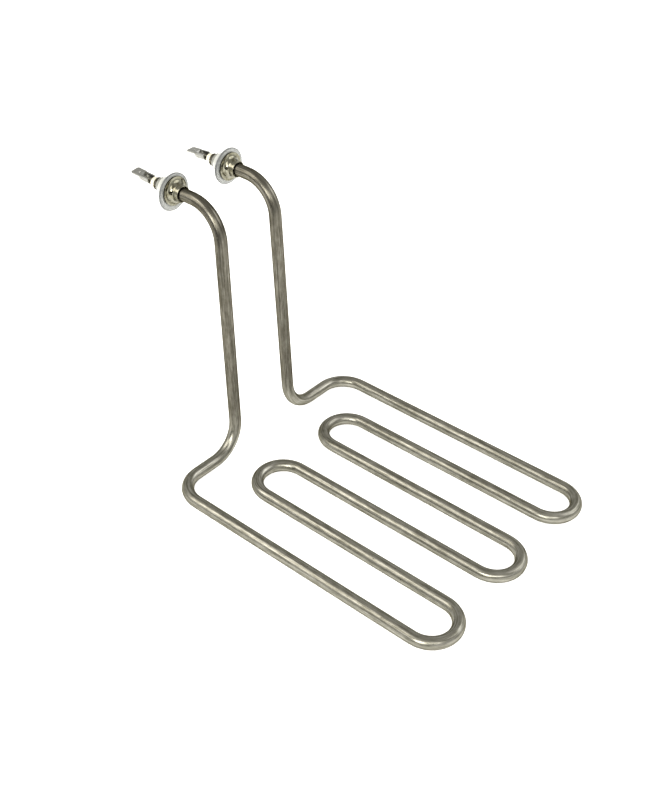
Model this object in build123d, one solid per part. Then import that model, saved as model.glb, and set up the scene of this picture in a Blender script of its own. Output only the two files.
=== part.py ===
from build123d import *

import os
from math import cos, radians, sin, tan

# A tubular heating element. One steel tube is bent into a flat serpentine of straight
# runs, with two upright legs that end in horizontal cold ends. Each cold end carries a
# flanged collar, a silicone wall grommet, a ceramic bead and a spade tab.
# Row frame: +X from the tabs to the front bends, +Y from the near end to the far end,
# +Z up, with z = 0 under the serpentine and x = y = 0 in the middle of the footprint.

# ---- driving dimensions, millimetres and degrees -------------------------------------

# sheath
tube_diameter = 8.0
sheath_wall = 0.7

# flat serpentine
run_count = 6             # straight runs side by side, always an even number
run_pitch = 33.6          # between the centrelines of neighbouring runs
run_length = 139.0        # between the centres of a front bend and a back bend
foot_setback = 47.5       # from the back bends' centres to the line of the leg feet
jog_radius = 19.0         # corner where an outer run turns in towards its leg

# legs and cold ends
leg_rise = 169.5          # serpentine centreline up to the cold ends' centreline
leg_lean = 14.35          # how far a leg's top stands behind its foot
foot_spacing = 53.3
terminal_spacing = 48.0
foot_radius = 22.0
elbow_radius = 23.0
terminal_length = 51.0    # elbow corner to the tube's end

# inside the tube
pin_diameter = 2.5
pin_shoulder = 0.2        # radial step down to the turned tip that the coil is screwed on to
pin_tip_length = 8.0
cold_height = 40.0        # height of the pin's inner end above the serpentine
coil_wire = 0.45
seal_length = 3.0

# ceramic bead in the tube's mouth
bead_projection = 3.65
bead_inset = 5.5
bead_rounding = 0.7
bead_clearance = 0.1      # radial, in the tube and round the pin

# flanged collar
collar_seat = 14.25       # from the tube's end to the collar's seating face
collar_length = 7.6
collar_flange_diameter = 18.5
collar_flange_thickness = 1.2
collar_hub_wall = 1.3     # outside the tube
collar_blend_radius = 3.4
collar_mouth_gap = 0.85   # radial relief round the tube
collar_mouth_depth = 3.0
collar_edge_rounding = 0.25

# silicone wall grommet
grommet_flange_diameter = 24.0
grommet_flange_thickness = 1.7
grommet_shoulder = 1.7    # from the flange's rim in to the wide end of the cone
grommet_cone_length = 7.6
grommet_throat_wall = 1.6 # outside the tube, at the cone's narrow end
grommet_neck_wall = 0.95
grommet_neck_length = 1.7
grommet_step_length = 0.35

# spade tab
tab_width = 6.3
tab_thickness = 0.8
tab_gap = 1.5             # between the bead and the tab's trough
blade_length = 8.0
blade_chamfer = 1.0
blade_lead_in = 0.2
blade_overlap = 0.3       # root of the blade that runs into the trough's ramp
blade_hole_diameter = 1.6
blade_hole_setback = 5.2
trough_length = 6.8
trough_rim = 1.5          # height of the rims, and of the blade's top face, above the axis
ramp_angle = 65.0         # end wall of the trough, from the axis up to the blade
pin_overlap = 5.4         # length of pin that lies in the trough

# how each tab stands on its pin: rolled about it, its tip raised, and swung sideways
near_tab_roll = 11.0
near_tab_pitch = -2.5
near_tab_swing = -4.0
far_tab_roll = 5.0
far_tab_pitch = -7.5
far_tab_swing = -2.5

# ---- sizes that follow from them -----------------------------------------------------

tube_radius = tube_diameter / 2
bore_radius = tube_radius - sheath_wall
pin_radius = pin_diameter / 2
pin_tip_radius = pin_radius - pin_shoulder
coil_radius = pin_tip_radius + coil_wire
trough_radius = tab_width / 2
trough_bore = trough_radius - tab_thickness
ramp_run = (trough_radius + trough_rim - tab_thickness) / tan(radians(ramp_angle))

front_reach = run_pitch / 2 + tube_radius
tab_length = trough_length + ramp_run + blade_length


def tip_reach(pitch, swing):
    """How far the tip of a leaning tab stands out from the mouth of its trough."""
    half = tab_width / 2 - blade_chamfer
    height = trough_bore + trough_rim - tab_thickness / 2
    lean = Rot(0, pitch, 0) * Rot(0, 0, swing)
    corners = [lean * Pos(-tab_length, y, height) for y in (-half, half)]
    return max(-corner.position.X for corner in corners)


tab_reach = bead_projection + tab_gap + max(
    tip_reach(near_tab_pitch, near_tab_swing), tip_reach(far_tab_pitch, far_tab_swing)
)
overall_length = (
    tab_reach + terminal_length + leg_lean + foot_setback + run_length + front_reach
)

# places along X, from the tabs' tips to the front bends
tube_end_x = tab_reach - overall_length / 2
elbow_x = tube_end_x + terminal_length
foot_x = elbow_x + leg_lean
back_bend_x = foot_x + foot_setback
front_bend_x = back_bend_x + run_length

run_z = tube_radius
terminal_z = run_z + leg_rise
terminal_y = terminal_spacing / 2
foot_y = foot_spacing / 2
outer_run_y = (run_count - 1) * run_pitch / 2


# ---- the route of the tube -----------------------------------------------------------

def run_y(index):
    """Side position of a straight run, counted from the near side."""
    return index * run_pitch - outer_run_y


def rounded_route(points, radii):
    """Join points with straight lines and tangent arcs, one radius for each inner point."""
    edges = []
    position = points[0]
    for before, corner, after, radius in zip(points, points[1:], points[2:], radii):
        arriving = (before - corner).normalized()
        leaving = (after - corner).normalized()
        half_angle = radians(arriving.get_angle(leaving)) / 2
        setback = radius / tan(half_angle)
        arc_start = corner + arriving * setback
        arc_end = corner + leaving * setback
        bisector = (arriving + leaving).normalized()
        arc_middle = corner + bisector * (radius / sin(half_angle) - radius)
        if (arc_start - position).length > 0.001:
            edges.append(Line(position, arc_start))
        edges.append(ThreePointArc(arc_start, arc_middle, arc_end))
        position = arc_end
    edges.append(Line(position, points[-1]))
    return Wire(edges)


def end_corners(side):
    """The tube's end, elbow, foot and jog on one side: -1 is near, +1 is far."""
    return [
        Vector(tube_end_x, side * terminal_y, terminal_z),
        Vector(elbow_x, side * terminal_y, terminal_z),
        Vector(foot_x, side * foot_y, run_z),
        Vector(foot_x, side * outer_run_y, run_z),
    ]


def bend_corners():
    """Two square corners for each U bend, so that its arcs meet as a half circle."""
    corners = []
    for index in range(run_count - 1):
        at_front = index % 2 == 0
        reach = run_pitch / 2
        bend_x = front_bend_x + reach if at_front else back_bend_x - reach
        corners.append(Vector(bend_x, run_y(index), run_z))
        corners.append(Vector(bend_x, run_y(index + 1), run_z))
    return corners


def leg_point(side, height):
    """A point on a leg's centreline, at a height above the serpentine."""
    _, elbow, foot, _ = end_corners(side)
    return foot + (elbow - foot) * (height / leg_rise)


def serpentine_corners():
    """Corners and radii from the near foot to the far foot."""
    near_foot, near_jog = end_corners(-1)[2:]
    far_foot, far_jog = end_corners(1)[2:]
    bends = bend_corners()
    corners = [near_foot, near_jog] + bends + [far_jog, far_foot]
    radii = [foot_radius, jog_radius] + [run_pitch / 2] * len(bends) + [jog_radius, foot_radius]
    return corners, radii


def tube_route():
    """The whole centreline, from the near tube end to the far one."""
    near_end, near_elbow = end_corners(-1)[:2]
    far_end, far_elbow = end_corners(1)[:2]
    corners, radii = serpentine_corners()
    points = [near_end, near_elbow] + corners + [far_elbow, far_end]
    return rounded_route(points, [elbow_radius] + radii + [elbow_radius])


def heated_route(height):
    """The centreline between the two legs, from one height on them round to the other."""
    corners, radii = serpentine_corners()
    return rounded_route([leg_point(-1, height)] + corners + [leg_point(1, height)], radii)


def cold_route(side, start_x, height):
    """The centreline from an x position in a cold end, round its elbow and down the leg."""
    start = Vector(start_x, side * terminal_y, terminal_z)
    elbow = end_corners(side)[1]
    return rounded_route([start, elbow, leg_point(side, height)], [elbow_radius])


def swept(route, outer_radius, inner_radius=0.0):
    """A round rod along a route, or a tube where an inner radius is given."""
    start = Plane(origin=route @ 0, z_dir=route % 0)
    section = start * Circle(outer_radius)
    if inner_radius > 0:
        section -= start * Circle(inner_radius)
    return sweep(section, path=route)


def turned(profile, origin):
    """Turn an outline, drawn with X along the axis and Z as radius, into a solid."""
    return Pos(origin) * revolve(profile, Axis.X)


def terminal_point(side, from_tube_end):
    """A point on a cold end's axis, measured inwards from the tube's end."""
    return Vector(tube_end_x + from_tube_end, side * terminal_y, terminal_z)


# ---- the pieces ----------------------------------------------------------------------

def sheath_tube():
    """The drawn steel tube, bent from one length."""
    return swept(tube_route(), tube_radius, bore_radius)


def coil_end(side):
    """The plane across a leg where its pin's shoulder meets the coil, facing the foot."""
    shoulder = leg_point(side, cold_height)
    return Plane(origin=shoulder, z_dir=leg_point(side, 0) - shoulder)


def pin_tip(side):
    """The turned tip of a cold pin, inside the end of the coil."""
    return coil_end(side) * Cylinder(
        pin_tip_radius, pin_tip_length, align=(Align.CENTER, Align.CENTER, Align.MIN)
    )


def cold_pin(side):
    """The steel pin of a cold end, with a turned tip that the coil is screwed on to."""
    outer_end = -(bead_projection + tab_gap + pin_overlap)
    body = swept(cold_route(side, tube_end_x + outer_end, cold_height), pin_radius)
    return body + pin_tip(side)


def heating_coil():
    """The outer form of the close-wound resistance coil, open at both ends for the pins."""
    return swept(heated_route(cold_height), coil_radius) - pin_tip(-1) - pin_tip(1)


def magnesia_fill():
    """The pressed powder between the sheath and the coil and pins."""
    fill = swept(heated_route(cold_height), bore_radius, coil_radius)
    for side in (-1, 1):
        start_x = tube_end_x + bead_inset + seal_length
        fill += swept(cold_route(side, start_x, cold_height), bore_radius, pin_radius)
    return fill


def end_seal(side):
    """The plug of sealing compound that closes the powder off."""
    route = Wire([Line(
        terminal_point(side, bead_inset),
        terminal_point(side, bead_inset + seal_length),
    )])
    return swept(route, bore_radius, pin_radius)


def ceramic_bead(side):
    """The insulating bead, part in the tube's mouth and part outside."""
    outer = bore_radius - bead_clearance
    inner = pin_radius + bead_clearance
    length = bead_projection + bead_inset
    bead = Pos(terminal_point(side, -bead_projection)) * Rot(0, 90, 0) * Cylinder(
        outer, length, align=(Align.CENTER, Align.CENTER, Align.MIN)
    )
    bead = fillet(bead.edges().group_by(Axis.X)[0], bead_rounding)
    bore = Pos(terminal_point(side, -bead_projection)) * Rot(0, 90, 0) * Cylinder(
        inner, length, align=(Align.CENTER, Align.CENTER, Align.MIN)
    )
    return bead - bore


def flanged_collar(side):
    """A turned collar: a thin flange that runs into a hub with a relieved mouth."""
    flange_radius = collar_flange_diameter / 2
    hub_radius = tube_radius + collar_hub_wall
    mouth_radius = tube_radius + collar_mouth_gap
    edge = collar_edge_rounding
    face_x = collar_flange_thickness
    blend_top = hub_radius + collar_blend_radius
    blend_end = face_x + collar_blend_radius
    blend_middle = collar_blend_radius * (1 - cos(radians(45)))
    mouth_floor = collar_length - collar_mouth_depth
    outline = Polyline(
        (blend_end, 0, hub_radius),
        (collar_length - edge, 0, hub_radius),
        (collar_length, 0, hub_radius - edge),
        (collar_length, 0, mouth_radius),
        (mouth_floor, 0, mouth_radius),
        (mouth_floor, 0, tube_radius),
        (0, 0, tube_radius),
        (0, 0, flange_radius - edge),
        (edge, 0, flange_radius),
        (face_x - edge, 0, flange_radius),
        (face_x, 0, flange_radius - edge),
        (face_x, 0, blend_top),
    )
    blend = ThreePointArc(
        (face_x, 0, blend_top),
        (face_x + blend_middle, 0, hub_radius + blend_middle),
        (blend_end, 0, hub_radius),
    )
    profile = make_face([outline, blend])
    return turned(profile, terminal_point(side, collar_seat))


def wall_grommet(side):
    """A soft wall seal: a round-edged flange, a cone and a thin neck on the tube."""
    flange_radius = grommet_flange_diameter / 2
    round_radius = grommet_flange_thickness / 2
    back_x = -grommet_flange_thickness
    throat_x = back_x - grommet_cone_length
    neck_x = throat_x - grommet_step_length
    end_x = neck_x - grommet_neck_length
    shoulder_radius = flange_radius - grommet_shoulder
    throat_radius = tube_radius + grommet_throat_wall
    neck_radius = tube_radius + grommet_neck_wall
    rim = ThreePointArc(
        (0, 0, flange_radius - round_radius),
        (-round_radius, 0, flange_radius),
        (back_x, 0, flange_radius - round_radius),
    )
    outline = Polyline(
        (back_x, 0, flange_radius - round_radius),
        (back_x, 0, shoulder_radius),
        (throat_x, 0, throat_radius),
        (neck_x, 0, neck_radius),
        (end_x, 0, neck_radius),
        (end_x, 0, tube_radius),
        (0, 0, tube_radius),
        (0, 0, flange_radius - round_radius),
    )
    profile = make_face([rim, outline])
    return turned(profile, terminal_point(side, collar_seat))


def blade_plate():
    """The flat blade, from its root at x = 0 out along -X, with its top face at z = 0."""
    half = tab_width / 2
    outline = make_face(Polyline(
        (blade_overlap, -half),
        (blade_overlap, half),
        (blade_chamfer - blade_length, half),
        (-blade_length, half - blade_chamfer),
        (-blade_length, blade_chamfer - half),
        (blade_chamfer - blade_length, -half),
        close=True,
    ))
    plate = extrude(outline, amount=-tab_thickness)
    plate = chamfer(plate.faces().sort_by(Axis.X)[0].edges().filter_by(Axis.Y), blade_lead_in)
    hole = Pos(blade_hole_setback - blade_length, 0, 0) * Cylinder(
        blade_hole_diameter / 2, 3 * tab_thickness
    )
    return plate - hole


def side_slab(points):
    """A slab across the tab, as wide as it needs to be, from a side outline of (x, z) points."""
    outline = make_face(Polyline(*[(x, 0, z) for x, z in points], close=True))
    return extrude(outline, amount=tab_width, both=True)


def tab_trough():
    """The rolled trough and the ramp that closes its outer end, with its axis on x."""
    ramp_x = -trough_length
    blade_x = ramp_x - ramp_run
    blade_underside = trough_rim - tab_thickness
    sheet_along = tab_thickness / sin(radians(ramp_angle))
    inner_foot_x = ramp_x + sheet_along - tab_thickness / tan(radians(ramp_angle))
    inner_top_x = ramp_x + sheet_along - (trough_radius + trough_rim) / tan(radians(ramp_angle))
    outside = side_slab([
        (0, trough_rim), (blade_x, trough_rim), (blade_x, blade_underside),
        (ramp_x, -trough_radius), (0, -trough_radius),
    ])
    inside = side_slab([
        (tab_width, tab_width), (inner_top_x, tab_width), (inner_top_x, trough_rim),
        (inner_foot_x, -trough_bore), (inner_foot_x, -tab_width), (tab_width, -tab_width),
    ])
    rod = Pos(blade_x, 0, 0) * Rot(0, 90, 0) * Cylinder(
        trough_radius, -blade_x, align=(Align.CENTER, Align.CENTER, Align.MIN)
    )
    hollow = Rot(0, 90, 0) * Cylinder(trough_bore, 4 * tab_length)
    return (rod & outside) - (hollow & inside)


def spade_tab(side, roll, pitch, swing):
    """A pressed tab: a trough that the pin lies in, and a flat blade level with its rims.

    The floor of the trough's mouth meets the underside of the pin. The tab is swung and
    tipped about that point, and then rolled about the pin.
    """
    blade = Pos(blade_length - tab_length, 0, trough_rim) * blade_plate()
    tab = Pos(0, 0, trough_bore) * (tab_trough() + blade)
    leaning = Pos(0, 0, -pin_radius) * Rot(0, pitch, 0) * Rot(0, 0, swing) * tab
    mouth = terminal_point(side, -bead_projection - tab_gap)
    return Pos(mouth) * Rot(roll, 0, 0) * leaning


# ---- one STEP file for each node -----------------------------------------------------

def build_nodes():
    """Every node by name, in the row frame."""
    nodes = {
        "sheath_tube": sheath_tube(),
        "heating_coil": heating_coil(),
        "magnesia_fill": magnesia_fill(),
        "spade_tab_near": spade_tab(-1, near_tab_roll, near_tab_pitch, near_tab_swing),
        "spade_tab_far": spade_tab(1, far_tab_roll, far_tab_pitch, far_tab_swing),
    }
    for side, name in ((-1, "near"), (1, "far")):
        nodes["cold_pin_" + name] = cold_pin(side)
        nodes["end_seal_" + name] = end_seal(side)
        nodes["ceramic_bead_" + name] = ceramic_bead(side)
        nodes["flanged_collar_" + name] = flanged_collar(side)
        nodes["wall_grommet_" + name] = wall_grommet(side)
    return nodes


os.makedirs("parts", exist_ok=True)
for node_name, shape in build_nodes().items():
    export_step(shape, "parts/" + node_name + ".step")
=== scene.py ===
from math import acos, cos, pi, radians, sin, tan

import bpy
import numpy as np
from mathutils import Matrix, Vector


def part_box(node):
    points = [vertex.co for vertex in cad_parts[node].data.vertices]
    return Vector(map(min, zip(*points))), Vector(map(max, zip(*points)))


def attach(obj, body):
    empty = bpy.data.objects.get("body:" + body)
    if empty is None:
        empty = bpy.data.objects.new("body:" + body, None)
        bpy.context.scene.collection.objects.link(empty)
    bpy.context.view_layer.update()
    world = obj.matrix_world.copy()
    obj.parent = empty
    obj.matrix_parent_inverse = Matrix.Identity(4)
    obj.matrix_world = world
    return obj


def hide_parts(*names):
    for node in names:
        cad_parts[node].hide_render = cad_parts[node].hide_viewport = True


# A tubular heating element: one drawn and annealed steel tube bent into a serpentine, with
# a bright collar, a silicone grommet, a ceramic bead and a spade tab at each cold end.
# Shapes are worked out in millimetres in the row frame, and written to meshes in metres.

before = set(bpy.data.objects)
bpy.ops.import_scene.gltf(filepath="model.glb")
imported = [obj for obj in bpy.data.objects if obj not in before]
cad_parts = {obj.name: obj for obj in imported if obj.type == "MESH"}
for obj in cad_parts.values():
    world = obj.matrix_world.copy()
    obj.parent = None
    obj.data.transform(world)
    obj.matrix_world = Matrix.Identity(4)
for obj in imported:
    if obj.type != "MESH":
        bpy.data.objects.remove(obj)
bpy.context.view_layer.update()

MM = 0.001
BODY = "root"
SIDES = ((-1, "near"), (1, "far"))


def cad_corners(node):
    """A CAD node's lowest and highest corners, in millimetres."""
    low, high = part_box(node)
    return np.array(low) / MM, np.array(high) / MM


# ---- places taken from the frame -------------------------------------------------------

tube_radius = 4.0
tube_low, tube_high = cad_corners("sheath_tube")
bead_low, bead_high = cad_corners("ceramic_bead_far")

tube_end_x = tube_low[0]
front_x = tube_high[0]
collar_back_x = cad_corners("flanged_collar_far")[0][0]
grommet_face_x = cad_corners("wall_grommet_far")[1][0]
run_z = tube_radius
terminal_z = tube_high[2] - tube_radius
terminal_y = (bead_low[1] + bead_high[1]) / 2
outer_run_y = tube_high[1] - tube_radius

# ---- driving dimensions, millimetres ---------------------------------------------------

# sheath and its route
sheath_wall = 0.7
end_rounding = 0.15
bend_flattening = 0.06       # how much the outside of a bend is drawn in
run_count = 6
run_length = 139.0
foot_setback = 47.5
jog_radius = 19.0
foot_radius = 22.0
elbow_radius = 23.0
foot_y = 26.65
terminal_length = 51.0

# turned collar
collar_length = 7.6
collar_flange_radius = 9.25
collar_flange_thickness = 1.2
collar_hub_radius = 5.3
collar_blend_radius = 3.4
collar_mouth_radius = 4.85
collar_mouth_depth = 3.0
collar_edge_rounding = 0.22

# silicone grommet
grommet_flange_radius = 12.0
grommet_flange_thickness = 1.7
grommet_shoulder_radius = 10.3
grommet_cone_length = 7.6
grommet_throat_radius = 5.6
grommet_neck_radius = 4.95
grommet_neck_length = 1.7
grommet_step_length = 0.35
grommet_neck_rounding = 0.35

# ceramic bead
bead_radius = 3.2
bead_bore_radius = 1.35
bead_rounding = 0.7
bead_bore_rounding = 0.25

# where the straight parts of the route meet
run_pitch = 2 * outer_run_y / (run_count - 1)
front_bend_x = front_x - tube_radius - run_pitch / 2
back_bend_x = front_bend_x - run_length
foot_x = back_bend_x - foot_setback
elbow_x = tube_end_x + terminal_length

# fineness of the meshes: points round a piece, and millimetres between rows of points
tube_columns = 48
collar_columns = 144
grommet_columns = 128
bead_columns = 72
bend_step = 1.1
line_step = 3.0
collar_step = 0.5
grommet_step = 0.45
bead_step = 0.6
shortest_step = 1e-4         # anything shorter is left out


# ---- meshes ----------------------------------------------------------------------------

def ring_faces(rows, columns):
    """Quads of a grid of points held row by row, closed on itself both ways, as a ring is."""
    row, column = np.meshgrid(np.arange(rows), np.arange(columns), indexing="ij")
    next_row = (row + 1) % rows
    next_column = (column + 1) % columns
    corners = (
        row * columns + column,
        row * columns + next_column,
        next_row * columns + next_column,
        next_row * columns + column,
    )
    return np.stack(corners, axis=-1).reshape(-1, 4)


def make_piece(name, points, faces, attributes=None):
    """A smooth mesh object from points in millimetres and quads.

    Each attribute is a place on the piece's own surface, one (x, y, z) for each point, also
    in millimetres.
    """
    mesh = bpy.data.meshes.new(name)
    mesh.vertices.add(points.size // 3)
    mesh.vertices.foreach_set("co", (points * MM).astype(np.float32).ravel())
    mesh.loops.add(faces.size)
    mesh.loops.foreach_set("vertex_index", faces.astype(np.int32).ravel())
    mesh.polygons.add(len(faces))
    mesh.polygons.foreach_set("loop_start", np.arange(0, faces.size, 4, dtype=np.int32))
    mesh.update(calc_edges=True)
    mesh.shade_smooth()
    for key, values in (attributes or {}).items():
        layer = mesh.attributes.new(key, "FLOAT_VECTOR", "POINT")
        layer.data.foreach_set("vector", (values * MM).astype(np.float32).ravel())
    mesh.validate()
    piece = bpy.data.objects.new(name, mesh)
    bpy.context.collection.objects.link(piece)
    return piece


def settle(piece, material, node):
    """The piece takes its material, stands for a CAD node and rides on the one body."""
    piece.data.materials.append(material)
    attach(piece, BODY)
    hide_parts(node)


# ---- the route of the tube -------------------------------------------------------------

def turned_about(vector, axis, angle):
    """A vector turned about an axis by each of an array of angles, by Rodrigues' formula."""
    angle = np.asarray(angle)[:, None]
    along = axis * np.dot(axis, vector)
    across = np.cross(axis, vector)
    return vector * np.cos(angle) + across * np.sin(angle) + along * (1 - np.cos(angle))


def straight_part(start, end, normal):
    """Points, tangents, normals and zero inward directions along a straight, or nothing."""
    length = np.linalg.norm(end - start)
    if length < shortest_step:
        return []
    share = np.linspace(0, 1, max(2, int(length / line_step) + 1))[:, None]
    count = len(share)
    return [(
        start + (end - start) * share,
        np.tile((end - start) / length, (count, 1)),
        np.tile(normal, (count, 1)),
        np.zeros((count, 3)),
    )]


def sampled_route(corners, radii, start_normal):
    """Points, tangents, normals, inward directions and lengths along a rounded polyline.

    Each corner is an arc tangent to its two straights: with turn t and radius r it starts
    r tan(t / 2) before the corner. The normal turns with the tangent about the arc's own
    axis, so that nothing twists.
    """
    corners = [np.array(corner, dtype=float) for corner in corners]
    position = corners[0]
    normal = np.array(start_normal, dtype=float)
    parts = []
    for before, corner, after, radius in zip(corners, corners[1:], corners[2:], radii):
        arriving = (corner - before) / np.linalg.norm(corner - before)
        leaving = (after - corner) / np.linalg.norm(after - corner)
        turn = acos(np.dot(arriving, leaving))
        axis = np.cross(arriving, leaving)
        axis /= np.linalg.norm(axis)
        arc_start = corner - arriving * radius * tan(turn / 2)
        parts += straight_part(position, arc_start, normal)
        inward = np.cross(axis, arriving)
        centre = arc_start + inward * radius
        angle = np.linspace(0, turn, max(3, int(turn * radius / bend_step) + 1))
        inwards = turned_about(inward, axis, angle)
        parts.append((
            centre - inwards * radius,
            turned_about(arriving, axis, angle),
            turned_about(normal, axis, angle),
            inwards,
        ))
        normal = parts[-1][2][-1]
        position = parts[-1][0][-1]
    parts += straight_part(position, corners[-1], normal)

    points, tangents, normals, inwards = (np.concatenate(group) for group in zip(*parts))
    moved = np.linalg.norm(np.diff(points, axis=0), axis=1) > shortest_step
    kept = np.concatenate(([True], moved))
    points, tangents, normals, inwards = points[kept], tangents[kept], normals[kept], inwards[kept]
    steps = np.linalg.norm(np.diff(points, axis=0), axis=1)
    lengths = np.concatenate(([0.0], np.cumsum(steps)))
    return points, tangents, normals, inwards, lengths


def end_corners(side):
    """The tube's end, elbow, foot and jog on one side: -1 is near, +1 is far."""
    return [
        (tube_end_x, side * terminal_y, terminal_z),
        (elbow_x, side * terminal_y, terminal_z),
        (foot_x, side * foot_y, run_z),
        (foot_x, side * outer_run_y, run_z),
    ]


def tube_corners():
    """Corners and radii of the whole centreline, from the near end to the far end."""
    corners = end_corners(-1)
    radii = [elbow_radius, foot_radius, jog_radius]
    reach = run_pitch / 2
    for index in range(run_count - 1):
        at_front = index % 2 == 0
        bend_x = front_bend_x + reach if at_front else back_bend_x - reach
        corners.append((bend_x, index * run_pitch - outer_run_y, run_z))
        corners.append((bend_x, (index + 1) * run_pitch - outer_run_y, run_z))
        radii += [reach, reach]
    corners += reversed(end_corners(1))
    radii += [jog_radius, foot_radius, elbow_radius]
    return corners, radii


# ---- the steel tube --------------------------------------------------------------------

def sheath_piece():
    """The tube's skin, its two rounded ends and its bore, as one closed ring of rows.

    Each row is a circle: point + r (normal cos a + binormal sin a). On the outside of a
    bend r is less by bend_flattening times the squared cosine from the bend's outward
    direction. The rows run along the skin, round the far end's edge, back down the bore
    with every other point of the route, and round the near end's edge.
    """
    corners, radii = tube_corners()
    points, tangents, normals, inwards, lengths = sampled_route(corners, radii, (0, 0, 1))
    binormals = np.cross(tangents, normals)
    bore = tube_radius - sheath_wall

    last = len(points) - 1
    skin_rows = np.arange(last + 1)
    bore_rows = np.unique(np.append(np.arange(0, last, 2), last))
    order = np.concatenate(([0], skin_rows, [last], bore_rows[::-1]))
    near_lip, near_edge, far_edge, far_lip = 0, 1, last + 1, last + 2
    radius = np.full(len(order), bore)
    radius[near_edge:far_edge + 1] = tube_radius
    radius[[near_lip, far_lip]] = tube_radius - end_rounding
    shift = np.zeros(len(order))
    shift[near_edge] = end_rounding
    shift[far_edge] = -end_rounding

    angle = np.linspace(0, 2 * pi, tube_columns, endpoint=False)
    out = (
        normals[order][:, None, :] * np.cos(angle)[None, :, None]
        + binormals[order][:, None, :] * np.sin(angle)[None, :, None]
    )
    outside = -np.einsum("rcx,rx->rc", out, inwards[order])
    on_skin = (radius > bore)[:, None]
    pull = np.where(on_skin, bend_flattening * np.clip(outside, 0, 1) ** 2, 0)
    reach = radius[:, None] - pull
    grid = (
        points[order][:, None, :]
        + tangents[order][:, None, :] * shift[:, None, None]
        + out * reach[:, :, None]
    )
    drawn = np.stack((
        np.broadcast_to(np.cos(angle) * tube_radius, outside.shape),
        np.broadcast_to(np.sin(angle) * tube_radius, outside.shape),
        np.broadcast_to(lengths[order][:, None], outside.shape),
    ), axis=-1)
    faces = ring_faces(len(order), tube_columns)
    return make_piece("drawn_sheath", grid, faces, {"drawn": drawn})


# ---- turned and moulded pieces ---------------------------------------------------------

def arc_profile(centre, radius, start, end, count):
    """Points (x, r) of an arc in the profile's plane, angles in degrees from +X to +r."""
    angle = np.radians(np.linspace(start, end, count))
    return np.stack((centre[0] + radius * np.cos(angle), centre[1] + radius * np.sin(angle)), axis=-1)


def dense_profile(pieces, step):
    """Joins arrays of (x, r) points into a loop, with each straight split into equal steps."""
    corners = np.concatenate(pieces)
    spans = np.roll(corners, -1, axis=0) - corners
    lengths = np.linalg.norm(spans, axis=1)
    kept = lengths > shortest_step
    corners, spans, lengths = corners[kept], spans[kept], lengths[kept]
    counts = np.maximum(1, np.round(lengths / step)).astype(int)
    owner = np.repeat(np.arange(len(counts)), counts)
    first = np.cumsum(counts) - counts
    share = (np.arange(len(owner)) - first[owner]) / counts[owner]
    return corners[owner] + spans[owner] * share[:, None]


def revolved(profile, columns):
    """A closed (x, r) profile turned about its x axis: y = r sin a and z = r cos a.

    Gives the grid, the angles, and each point's place on the surface: its distance from the
    profile's lowest x, its radius, and the arc at the tube's radius.
    """
    angle = np.linspace(0, 2 * pi, columns, endpoint=False)
    shape = (len(profile), columns)
    x = np.broadcast_to(profile[:, 0:1], shape)
    y = profile[:, 1:2] * np.sin(angle)
    z = profile[:, 1:2] * np.cos(angle)
    place = np.stack((
        x - profile[:, 0].min(),
        np.broadcast_to(profile[:, 1:2], shape),
        np.broadcast_to(angle * tube_radius, shape),
    ), axis=-1)
    return np.stack((x, y, z), axis=-1), angle, place


def collar_piece(side, name):
    """The turned collar: its outline is straights and arcs, revolved about the tube's axis."""
    face = collar_flange_thickness
    edge = collar_edge_rounding
    hub = collar_hub_radius
    mouth = collar_mouth_radius
    mouth_x = collar_length - collar_mouth_depth
    blend_centre = (face + collar_blend_radius, hub + collar_blend_radius)
    profile = dense_profile([
        np.array([[0.0, tube_radius], [mouth_x, tube_radius], [mouth_x, mouth]]),
        arc_profile((collar_length - edge / 2, mouth + edge / 2), edge / 2, -90, 0, 4),
        arc_profile((collar_length - edge, hub - edge), edge, 0, 90, 5),
        arc_profile(blend_centre, collar_blend_radius, 270, 180, 22),
        arc_profile((face - edge, collar_flange_radius - edge), edge, 0, 90, 5),
        arc_profile((edge, collar_flange_radius - edge), edge, 90, 180, 5),
    ], collar_step)
    grid, _, place = revolved(profile, collar_columns)
    grid += np.array([collar_back_x, side * terminal_y, terminal_z])
    faces = ring_faces(len(profile), collar_columns)[:, ::-1]
    return make_piece("turned_collar_" + name, grid, faces, {"turned": place})


def grommet_piece(side, name, droop, waves):
    """The soft wall seal: flange, cone and neck, revolved, then slumped.

    With s a smooth step from the tube's radius to the rim's, a point sinks by droop times
    s, and its radius grows by s times the sum of height cos(lobes (a - phase)) over the
    waves, so that the bore stays tight on the tube.
    """
    half = grommet_flange_thickness / 2
    back = -grommet_flange_thickness
    throat = back - grommet_cone_length
    neck = throat - grommet_step_length
    end = neck - grommet_neck_length
    soft = grommet_neck_rounding
    profile = dense_profile([
        np.array([[end, tube_radius], [0.0, tube_radius]]),
        arc_profile((-half, grommet_flange_radius - half), half, 0, 180, 17),
        np.array([[back, grommet_shoulder_radius], [throat, grommet_throat_radius]]),
        np.array([[neck, grommet_neck_radius]]),
        arc_profile((end + soft, grommet_neck_radius - soft), soft, 90, 180, 5),
    ], grommet_step)
    grid, angle, place = revolved(profile, grommet_columns)
    share = np.clip((profile[:, 1] - tube_radius) / (grommet_flange_radius - tube_radius), 0, 1)
    share = (share * share * (3 - 2 * share))[:, None]
    swell = sum(height * np.cos(lobes * (angle - radians(phase))) for lobes, height, phase in waves)
    grid[:, :, 1] += share * swell * np.sin(angle)
    grid[:, :, 2] += share * (swell * np.cos(angle) - droop)
    grid += np.array([grommet_face_x, side * terminal_y, terminal_z])
    faces = ring_faces(len(profile), grommet_columns)[:, ::-1]
    return make_piece("moulded_grommet_" + name, grid, faces, {"moulded": place})


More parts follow.
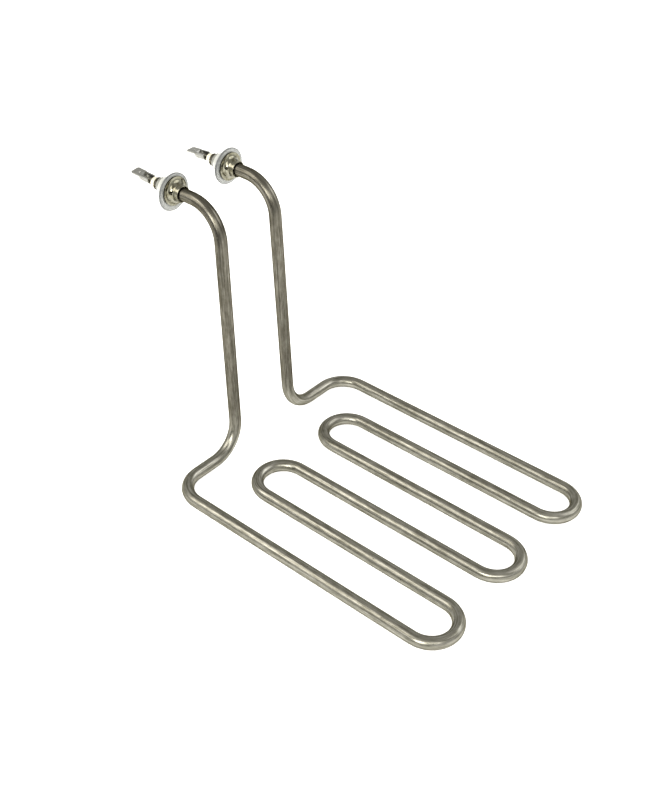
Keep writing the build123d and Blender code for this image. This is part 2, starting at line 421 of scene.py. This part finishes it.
def bead_piece(side, name):
    """The insulating bead: a tube with a rounded outer end, revolved."""
    length = bead_high[0] - bead_low[0]
    edge = bead_bore_rounding
    profile = dense_profile([
        np.array([[length, bead_bore_radius], [length, bead_radius]]),
        arc_profile((bead_rounding, bead_radius - bead_rounding), bead_rounding, 90, 180, 9),
        arc_profile((edge, bead_bore_radius + edge), edge, 180, 270, 5),
    ], bead_step)
    grid, _, _ = revolved(profile, bead_columns)
    grid += np.array([bead_low[0], side * terminal_y, terminal_z])
    faces = ring_faces(len(profile), bead_columns)
    return make_piece("steatite_bead_" + name, grid, faces)


# ---- nodes -----------------------------------------------------------------------------

# A Mix node that mixes colours has its sockets by number: factor, first, second and result.
MIX_FACTOR, MIX_FIRST, MIX_SECOND, MIX_RESULT = 0, 6, 7, 2


def srgb(hex_colour):
    """An sRGB hex colour as the linear RGBA that Blender's sockets take."""
    channels = [int(hex_colour[i:i + 2], 16) / 255 for i in (1, 3, 5)]
    linear = [c / 12.92 if c <= 0.04045 else ((c + 0.055) / 1.055) ** 2.4 for c in channels]
    return (*linear, 1.0)


def per_metre(size):
    """The scale of a pattern whose cells are a size in millimetres."""
    return 1 / (size * MM)


def add_node(tree, kind, settings=None, inputs=None):
    """Adds a node with its settings, and each input set to a value or linked to a socket.

    A colour ramp's stops are a setting too: pairs of a position and an sRGB hex colour.
    """
    node = tree.nodes.new(kind)
    for key, value in (settings or {}).items():
        if key == "stops":
            elements = node.color_ramp.elements
            while len(elements) < len(value):
                elements.new(0.5)
            for element, (position, colour) in zip(elements, value):
                element.position = position
                element.color = srgb(colour)
        else:
            setattr(node, key, value)
    for key, value in (inputs or {}).items():
        if isinstance(value, bpy.types.NodeSocket):
            tree.links.new(value, node.inputs[key])
        else:
            node.inputs[key].default_value = value
    return node


def new_material(name):
    """An empty node material, its tree and its Principled shader."""
    material = bpy.data.materials.new(name)
    material.use_nodes = True
    tree = material.node_tree
    shader = next(node for node in tree.nodes if node.type == "BSDF_PRINCIPLED")
    return material, tree, shader


# ---- materials -------------------------------------------------------------------------

def drawn_stainless():
    """Stainless tube, cold drawn and annealed: fine lines run its length under a warm oxide.

    The lines are 0.7 mm wide before their finer octaves, and over thirty times as long. The
    oxide lies on them in clouds, with a small pit here and there. The standing legs are
    darker than the runs, and the change lies between 8 and 40 mm up.
    """
    line_width = 0.714
    line_shortening = 0.03
    cloud_size = 2.38
    cloud_shortening = 0.4
    line_share = 0.66
    cloud_share = 0.34
    pit_spacing = 7.69
    legs_from, legs_full = 8 * MM, 40 * MM

    material, tree, shader = new_material("drawn_annealed_stainless")
    place = add_node(tree, "ShaderNodeAttribute", {"attribute_name": "drawn"}).outputs["Vector"]
    lines_at = add_node(tree, "ShaderNodeMapping", None, {
        "Vector": place, "Scale": (1, 1, line_shortening),
    })
    lines = add_node(tree, "ShaderNodeTexNoise", None, {
        "Vector": lines_at.outputs["Vector"],
        "Scale": per_metre(line_width), "Detail": 4.0, "Roughness": 0.62,
    }).outputs["Fac"]
    cloud_at = add_node(tree, "ShaderNodeMapping", None, {
        "Vector": place, "Scale": (1, 1, cloud_shortening),
    })
    cloud = add_node(tree, "ShaderNodeTexNoise", None, {
        "Vector": cloud_at.outputs["Vector"],
        "Scale": per_metre(cloud_size), "Detail": 5.0, "Roughness": 0.62,
    }).outputs["Fac"]
    lined = add_node(tree, "ShaderNodeMath", {"operation": "MULTIPLY"}, {0: lines, 1: line_share})
    tone = add_node(tree, "ShaderNodeMath", {"operation": "MULTIPLY_ADD"}, {
        0: cloud, 1: cloud_share, 2: lined.outputs[0],
    }).outputs[0]
    lying = add_node(tree, "ShaderNodeValToRGB", {"stops": (
        (0.36, "#605e53"), (0.46, "#7f7d72"), (0.55, "#949288"), (0.66, "#b0aea4"),
    )}, {"Fac": tone})
    standing = add_node(tree, "ShaderNodeValToRGB", {"stops": (
        (0.36, "#45423a"), (0.46, "#5f5c52"), (0.55, "#726f65"), (0.66, "#8e8b81"),
    )}, {"Fac": tone})
    spot = add_node(tree, "ShaderNodeTexCoord").outputs["Object"]
    height = add_node(tree, "ShaderNodeSeparateXYZ", None, {"Vector": spot}).outputs["Z"]
    rise = add_node(tree, "ShaderNodeMapRange", {"interpolation_type": "SMOOTHSTEP"}, {
        "Value": height, "From Min": legs_from, "From Max": legs_full,
    }).outputs["Result"]
    # This mix darkens the colour from 8 to 40 mm up by height alone, over the oxide clouds.
    oxide = add_node(tree, "ShaderNodeMix", {"data_type": "RGBA"}, {
        MIX_FACTOR: rise,
        MIX_FIRST: lying.outputs["Color"],
        MIX_SECOND: standing.outputs["Color"],
    }).outputs[MIX_RESULT]
    pits = add_node(tree, "ShaderNodeTexVoronoi", None, {
        "Vector": place, "Scale": per_metre(pit_spacing), "Randomness": 1.0,
    }).outputs["Distance"]
    pitted = add_node(tree, "ShaderNodeMapRange", {"interpolation_type": "SMOOTHSTEP"}, {
        "Value": pits, "From Min": 0.03, "From Max": 0.06, "To Min": 0.8, "To Max": 0.0,
    }).outputs["Result"]
    colour = add_node(tree, "ShaderNodeMix", {"data_type": "RGBA"}, {
        MIX_FACTOR: pitted, MIX_FIRST: oxide, MIX_SECOND: srgb("#2b2924"),
    }).outputs[MIX_RESULT]
    rough = add_node(tree, "ShaderNodeMapRange", None, {
        "Value": tone, "From Min": 0.3, "From Max": 0.7, "To Min": 0.36, "To Max": 0.27,
    }).outputs["Result"]
    bump = add_node(tree, "ShaderNodeBump", None, {
        "Strength": 0.25, "Distance": 0.06 * MM, "Height": lines,
    }).outputs["Normal"]
    tree.links.new(colour, shader.inputs["Base Color"])
    tree.links.new(rough, shader.inputs["Roughness"])
    tree.links.new(bump, shader.inputs["Normal"])
    # The darker edge tint stands in for shade: it dims grazing reflections, such as the floor's at the
    # tube's lower edges.
    shader.inputs["Specular Tint"].default_value = srgb("#8f8d84")
    shader.inputs["Metallic"].default_value = 1.0
    return material


def bright_nickel():
    """Turned steel, nickel plated: mirror bright and faintly yellow, with fine turning rings.

    The attribute holds each point's distance along the collar and its radius. Noise on their
    sum gives rings both on the hub and on the flange's face. The flange's outer edge is
    painted dark, as painted shade and painted dark reflection in its gap against the silicone.
    """
    stain_and_reflection_size = 3.125
    ring_width = 0.625
    rim_shade_from = (collar_flange_radius - 0.12) * MM
    rim_shade_full = (collar_flange_radius - 0.02) * MM

    material, tree, shader = new_material("bright_nickel_plate")
    spot = add_node(tree, "ShaderNodeTexCoord").outputs["Object"]
    stain_and_reflection = add_node(tree, "ShaderNodeTexNoise", None, {
        "Vector": spot, "Scale": per_metre(stain_and_reflection_size), "Detail": 3.0, "Roughness": 0.55,
    }).outputs["Fac"]
    # Blotchy tone: partly stains, and its darkest blotches are painted dark reflection of the room.
    plating = add_node(tree, "ShaderNodeValToRGB", {"stops": (
        (0.32, "#635f4c"), (0.45, "#858270"), (0.6, "#929080"), (0.8, "#a3a193"),
    )}, {"Fac": stain_and_reflection}).outputs["Color"]
    place = add_node(tree, "ShaderNodeAttribute", {"attribute_name": "turned"}).outputs["Vector"]
    parts = add_node(tree, "ShaderNodeSeparateXYZ", None, {"Vector": place})
    # The flange's outer edge is painted dark: painted shade and painted dark reflection in the gap
    # against the silicone.
    rim = add_node(tree, "ShaderNodeMapRange", None, {
        "Value": parts.outputs["Y"],
        "From Min": rim_shade_from, "From Max": rim_shade_full, "To Min": 0.0, "To Max": 0.85,
    }).outputs["Result"]
    colour = add_node(tree, "ShaderNodeMix", {"data_type": "RGBA"}, {
        MIX_FACTOR: rim, MIX_FIRST: plating, MIX_SECOND: srgb("#2a2820"),
    }).outputs[MIX_RESULT]
    rough = add_node(tree, "ShaderNodeMapRange", None, {
        "Value": stain_and_reflection, "From Min": 0.3, "From Max": 0.7, "To Min": 0.16, "To Max": 0.09,
    }).outputs["Result"]
    along = add_node(tree, "ShaderNodeMath", {"operation": "ADD"}, {
        0: parts.outputs["X"], 1: parts.outputs["Y"],
    }).outputs[0]
    rings = add_node(tree, "ShaderNodeTexNoise", {"noise_dimensions": "1D"}, {
        "W": along, "Scale": per_metre(ring_width), "Detail": 3.0, "Roughness": 0.6,
    }).outputs["Fac"]
    bump = add_node(tree, "ShaderNodeBump", None, {
        "Strength": 0.3, "Distance": 0.04 * MM, "Height": rings,
    }).outputs["Normal"]
    tree.links.new(colour, shader.inputs["Base Color"])
    tree.links.new(rough, shader.inputs["Roughness"])
    tree.links.new(bump, shader.inputs["Normal"])
    shader.inputs["Metallic"].default_value = 1.0
    return material


def clear_silicone():
    """Moulded translucent silicone: milky where it is thick, grey where it is thin.

    The attribute holds each point's distance from the neck's end, and its radius. Along it the
    thin neck is painted grey, as if the steel showed through, the cone pale, and painted shade
    darkens the cone by the flange. The flange's grey is painted shade, darker by the collar and rim.
    """
    haze_size = 3.333
    body_length = (grommet_cone_length + grommet_neck_length + grommet_flange_thickness) * MM

    material, tree, shader = new_material("translucent_silicone")
    place = add_node(tree, "ShaderNodeAttribute", {"attribute_name": "moulded"}).outputs["Vector"]
    parts = add_node(tree, "ShaderNodeSeparateXYZ", None, {"Vector": place})
    haze = add_node(tree, "ShaderNodeTexNoise", None, {
        "Vector": place, "Scale": per_metre(haze_size), "Detail": 3.0, "Roughness": 0.5,
    }).outputs["Fac"]
    length = add_node(tree, "ShaderNodeMapRange", None, {
        "Value": parts.outputs["X"], "From Min": 0.0, "From Max": body_length,
    }).outputs["Result"]
    hazy_length = add_node(tree, "ShaderNodeMath", {"operation": "MULTIPLY_ADD"}, {
        0: haze, 1: 0.05, 2: length,
    }).outputs[0]
    # Grey neck and pale cone; the darkening where the cone meets the flange is painted shade.
    along = add_node(tree, "ShaderNodeValToRGB", {"stops": (
        (0.0, "#7d7e77"), (0.25, "#8f9087"), (0.33, "#cacac1"), (0.62, "#b9bbb3"), (0.80, "#8b8f8b"),
    )}, {"Fac": hazy_length}).outputs["Color"]
    reach = add_node(tree, "ShaderNodeMapRange", None, {
        "Value": parts.outputs["Y"],
        "From Min": collar_flange_radius * MM, "From Max": grommet_flange_radius * MM,
    }).outputs["Result"]
    hazy_reach = add_node(tree, "ShaderNodeMath", {"operation": "MULTIPLY_ADD"}, {
        0: haze, 1: 0.12, 2: reach,
    }).outputs[0]
    # The flange's grey is painted shade, darker still as painted shade beside the collar and at the rim.
    across = add_node(tree, "ShaderNodeValToRGB", {"stops": (
        (0.0, "#7c7e7a"), (0.22, "#a0a29e"), (0.60, "#979996"), (0.86, "#8b8d8b"), (1.0, "#636565"),
    )}, {"Fac": hazy_reach}).outputs["Color"]
    on_flange = add_node(tree, "ShaderNodeMapRange", None, {
        "Value": length, "From Min": 0.80, "From Max": 0.86,
    }).outputs["Result"]
    colour = add_node(tree, "ShaderNodeMix", {"data_type": "RGBA"}, {
        MIX_FACTOR: on_flange, MIX_FIRST: along, MIX_SECOND: across,
    }).outputs[MIX_RESULT]
    tree.links.new(colour, shader.inputs["Base Color"])
    shader.inputs["Roughness"].default_value = 0.30
    shader.inputs["IOR"].default_value = 1.41
    shader.inputs["Transmission Weight"].default_value = 0.12
    shader.inputs["Subsurface Weight"].default_value = 0.3
    shader.inputs["Subsurface Radius"].default_value = (MM, MM, MM)
    shader.inputs["Subsurface Scale"].default_value = 1.0
    return material


def steatite():
    """Pressed and fired steatite: cream, close grained, with a faint fired sheen."""
    grain_size = 1.111       # coarser than the real grain, which is too fine to show

    material, tree, shader = new_material("fired_steatite")
    spot = add_node(tree, "ShaderNodeTexCoord").outputs["Object"]
    grain = add_node(tree, "ShaderNodeTexNoise", None, {
        "Vector": spot, "Scale": per_metre(grain_size), "Detail": 4.0, "Roughness": 0.6,
    }).outputs["Fac"]
    colour = add_node(tree, "ShaderNodeValToRGB", {"stops": (
        (0.3, "#cbc7b0"), (0.55, "#dfdbc8"), (0.8, "#ebe8d8"),
    )}, {"Fac": grain}).outputs["Color"]
    tree.links.new(colour, shader.inputs["Base Color"])
    shader.inputs["Roughness"].default_value = 0.42
    shader.inputs["Subsurface Weight"].default_value = 0.2
    shader.inputs["Subsurface Radius"].default_value = (MM, 0.9 * MM, 0.7 * MM)
    shader.inputs["Subsurface Scale"].default_value = 1.0
    return material


def tinned_steel(name, light, dark):
    """Sheet or wire with a thin plated skin: satin, with a grain that runs along X."""
    grain_width = 0.4545
    grain_shortening = 0.08

    material, tree, shader = new_material(name)
    spot = add_node(tree, "ShaderNodeTexCoord").outputs["Object"]
    grain_at = add_node(tree, "ShaderNodeMapping", None, {
        "Vector": spot, "Scale": (grain_shortening, 1, 1),
    })
    grain = add_node(tree, "ShaderNodeTexNoise", None, {
        "Vector": grain_at.outputs["Vector"],
        "Scale": per_metre(grain_width), "Detail": 4.0, "Roughness": 0.6,
    }).outputs["Fac"]
    colour = add_node(tree, "ShaderNodeValToRGB", {"stops": (
        (0.32, dark), (0.68, light),
    )}, {"Fac": grain}).outputs["Color"]
    rough = add_node(tree, "ShaderNodeMapRange", None, {
        "Value": grain, "From Min": 0.3, "From Max": 0.7, "To Min": 0.42, "To Max": 0.26,
    }).outputs["Result"]
    bump = add_node(tree, "ShaderNodeBump", None, {
        "Strength": 0.2, "Distance": 0.04 * MM, "Height": grain,
    }).outputs["Normal"]
    tree.links.new(colour, shader.inputs["Base Color"])
    tree.links.new(rough, shader.inputs["Roughness"])
    tree.links.new(bump, shader.inputs["Normal"])
    shader.inputs["Metallic"].default_value = 1.0
    return material


def packed_powder(name, light, dark, grain_size):
    """Pressed mineral powder or a filled sealant: matt, with the grit of its grains in mm."""
    material, tree, shader = new_material(name)
    spot = add_node(tree, "ShaderNodeTexCoord").outputs["Object"]
    grit = add_node(tree, "ShaderNodeTexNoise", None, {
        "Vector": spot, "Scale": per_metre(grain_size), "Detail": 4.0, "Roughness": 0.65,
    }).outputs["Fac"]
    colour = add_node(tree, "ShaderNodeValToRGB", {"stops": (
        (0.3, dark), (0.7, light),
    )}, {"Fac": grit}).outputs["Color"]
    bump = add_node(tree, "ShaderNodeBump", None, {
        "Strength": 0.5, "Distance": grain_size * MM / 3, "Height": grit,
    }).outputs["Normal"]
    tree.links.new(colour, shader.inputs["Base Color"])
    tree.links.new(bump, shader.inputs["Normal"])
    shader.inputs["Roughness"].default_value = 0.9
    return material


# ---- the object ------------------------------------------------------------------------

# How each grommet has slumped: its droop in millimetres, then its waves round the rim, each
# with its lobes, its height in millimetres and the angle of its crest in degrees.
grommet_forms = {
    "near": (1.1, ((2, 0.12, 30), (3, 0.10, 100))),
    "far": (0.25, ((2, -0.10, 0), (3, 0.12, 140), (5, 0.08, 60))),
}

stainless = drawn_stainless()
nickel = bright_nickel()
silicone = clear_silicone()
ceramic = steatite()
tab_steel = tinned_steel("plated_sheet_steel", "#b9b9b4", "#8b8b84")
pin_steel = tinned_steel("drawn_pin_steel", "#98968a", "#6e6b5f")
coil_alloy = tinned_steel("nickel_chrome_wire", "#8a8680", "#5d5953")
magnesia = packed_powder("pressed_magnesia", "#e9e6de", "#cfcabf", 0.08)
sealant = packed_powder("cured_silicone_sealant", "#d9cdb4", "#c4b698", 0.15)

settle(sheath_piece(), stainless, "sheath_tube")
for side, name in SIDES:
    settle(collar_piece(side, name), nickel, "flanged_collar_" + name)
    grommet = grommet_piece(side, name, *grommet_forms[name])
    settle(grommet, silicone, "wall_grommet_" + name)
    settle(bead_piece(side, name), ceramic, "ceramic_bead_" + name)

for node, material in (
    ("heating_coil", coil_alloy),
    ("magnesia_fill", magnesia),
    ("end_seal_near", sealant),
    ("end_seal_far", sealant),
    ("cold_pin_near", pin_steel),
    ("cold_pin_far", pin_steel),
    ("spade_tab_near", tab_steel),
    ("spade_tab_far", tab_steel),
):
    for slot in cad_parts[node].material_slots:
        slot.material = material


# ---- floor, light and camera, in metres ------------------------------------------------

table_reach = 4.0
table_glow = 0.6
table_front_y = (-0.33, -0.40)         # where the mirrored table starts and ends its fade
table_left_x = (-0.40, -0.25)          # the fade spares what lies past this on the left
surround_greys = (
    (0.0, "#fbfbfa"), (0.12, "#f4f4f2"), (0.36, "#dddcd8"), (0.62, "#cdccc8"), (1.0, "#cac8c3"),
)
dark_left = (-22, -14)                 # compass turn from -Y, degrees: outer and inner limit
dark_right = (52, 40)
dark_bottom = (-0.45, -0.30)           # sine of the height: outer and inner limit
dark_top = (0.52, 0.42)


def studio_floor():
    """A plain white light table, larger than the view, as one flat sheet.

    It glows a little of its own, so that the object stands on clean white with hardly a shadow.
    Only mirrored rays see the table's front edge, with the dark room past it.
    """
    across = np.array([-1, 1, 1, -1]) * table_reach / MM
    along = np.array([-1, -1, 1, 1]) * table_reach / MM
    points = np.stack((across, along, np.zeros(4)), axis=-1)
    floor = make_piece("light_table", points, np.array([[0, 1, 2, 3]]))
    material, tree, shader = new_material("opal_acrylic_table")
    spot = add_node(tree, "ShaderNodeTexCoord").outputs["Object"]
    parts = add_node(tree, "ShaderNodeSeparateXYZ", None, {"Vector": spot})
    dark = add_node(tree, "ShaderNodeLightPath").outputs["Is Glossy Ray"]
    for axis, (start, end) in (("Y", table_front_y), ("X", table_left_x)):
        fade = add_node(tree, "ShaderNodeMapRange", {"interpolation_type": "SMOOTHSTEP"}, {
            "Value": parts.outputs[axis], "From Min": start, "From Max": end,
        }).outputs["Result"]
        dark = add_node(tree, "ShaderNodeMath", {"operation": "MULTIPLY"}, {0: dark, 1: fade}).outputs[0]
    for socket, lit, unlit in (
        ("Emission Color", "#ffffff", "#000000"),
        ("Base Color", "#f0f0ee", "#24231f"),
    ):
        colour = add_node(tree, "ShaderNodeMix", {"data_type": "RGBA"}, {
            MIX_FACTOR: dark, MIX_FIRST: srgb(lit), MIX_SECOND: srgb(unlit),
        }).outputs[MIX_RESULT]
        tree.links.new(colour, shader.inputs[socket])
    shader.inputs["Roughness"].default_value = 0.9
    shader.inputs["Emission Strength"].default_value = table_glow
    floor.data.materials.append(material)


def studio_world():
    """The studio round the table: a ramp of grey from the horizon (0) up to the zenith (1).

    Only mirrored rays see the dark end of the room, low down on the viewer's side, inside the
    four limits.
    """
    world = bpy.data.worlds.new("studio_surround")
    world.use_nodes = True
    tree = world.node_tree
    background = next(node for node in tree.nodes if node.type == "BACKGROUND")
    direction = add_node(tree, "ShaderNodeTexCoord").outputs["Generated"]
    parts = add_node(tree, "ShaderNodeSeparateXYZ", None, {"Vector": direction})
    height = parts.outputs["Z"]
    forward = add_node(tree, "ShaderNodeMath", {"operation": "MULTIPLY"}, {
        0: parts.outputs["Y"], 1: -1.0,
    }).outputs[0]
    turn = add_node(tree, "ShaderNodeMath", {"operation": "ARCTAN2"}, {
        0: parts.outputs["X"], 1: forward,
    }).outputs[0]
    greys = add_node(tree, "ShaderNodeValToRGB", {"stops": surround_greys}, {"Fac": height})
    dark = add_node(tree, "ShaderNodeLightPath").outputs["Is Glossy Ray"]
    for value, (outer, inner) in (
        (turn, np.radians(dark_left)),
        (turn, np.radians(dark_right)),
        (height, dark_bottom),
        (height, dark_top),
    ):
        edge = add_node(tree, "ShaderNodeMapRange", {"interpolation_type": "SMOOTHSTEP"}, {
            "Value": value, "From Min": outer, "From Max": inner,
        }).outputs["Result"]
        dark = add_node(tree, "ShaderNodeMath", {"operation": "MULTIPLY"}, {0: dark, 1: edge}).outputs[0]
    colour = add_node(tree, "ShaderNodeMix", {"data_type": "RGBA"}, {
        MIX_FACTOR: dark, MIX_FIRST: greys.outputs["Color"], MIX_SECOND: srgb("#1c1b18"),
    }).outputs[MIX_RESULT]
    tree.links.new(colour, background.inputs["Color"])
    bpy.context.scene.world = world


def soft_box(name, place, target, size, power, colour):
    """A rectangular soft light at a place, turned to face a target."""
    light = bpy.data.lights.new(name, "AREA")
    light.shape = "RECTANGLE"
    light.size, light.size_y = size
    light.energy = power
    light.color = srgb(colour)[:3]
    lamp = bpy.data.objects.new(name, light)
    lamp.location = place
    direction = Vector(target) - Vector(place)
    lamp.rotation_euler = direction.to_track_quat("-Z", "Y").to_euler()
    lamp.visible_camera = False
    bpy.context.collection.objects.link(lamp)


camera_place = np.array([0.33101, -0.43199, 0.46580])
camera_turn = radians(37.65741)        # compass turn from -Y towards +X
camera_rise = radians(36.85281)
camera_roll = radians(2.71154)
camera_lens = 48.457                   # for a 36 mm tall sensor
camera_sensor = 36.0


def studio_camera():
    """The camera: its three axes from its turn and rise, then rolled about its own view."""
    ahead = np.array([sin(camera_turn), -cos(camera_turn), 0.0])
    level = np.array([cos(camera_turn), sin(camera_turn), 0.0])
    back = ahead * cos(camera_rise) + np.array([0.0, 0.0, sin(camera_rise)])
    upright = np.cross(back, level)
    matrix = np.eye(4)
    matrix[:3, 0] = level * cos(camera_roll) + upright * sin(camera_roll)
    matrix[:3, 1] = upright * cos(camera_roll) - level * sin(camera_roll)
    matrix[:3, 2] = back
    matrix[:3, 3] = camera_place
    data = bpy.data.cameras.new("studio_camera")
    data.lens = camera_lens
    data.sensor_width = camera_sensor
    data.clip_start = 0.01
    camera = bpy.data.objects.new("studio_camera", data)
    camera.matrix_world = Matrix(matrix.tolist())
    bpy.context.collection.objects.link(camera)
    bpy.context.scene.camera = camera


studio_floor()
studio_world()
soft_box(
    "left_soft_box", place=(-0.53, -0.68, 0.86), target=(0.0, 0.0, 0.03),
    size=(0.72, 0.76), power=5.4, colour="#fffaf2",
)
soft_box(
    "right_soft_box", place=(0.62, 0.84, 0.88), target=(0.0, 0.0, 0.03),
    size=(0.95, 0.84), power=5.0, colour="#fdfdff",
)
soft_box(
    "front_soft_box", place=(0.38, -1.20, 0.72), target=(0.0, 0.0, 0.10),
    size=(0.72, 0.56), power=11.5, colour="#fffdf8",
)
soft_box(
    "side_soft_box", place=(0.86, -0.56, 0.84), target=(0.0, 0.0, 0.05),
    size=(0.70, 0.50), power=3.2, colour="#fffdf8",
)
studio_camera()
bpy.context.scene.view_settings.view_transform = "Standard"
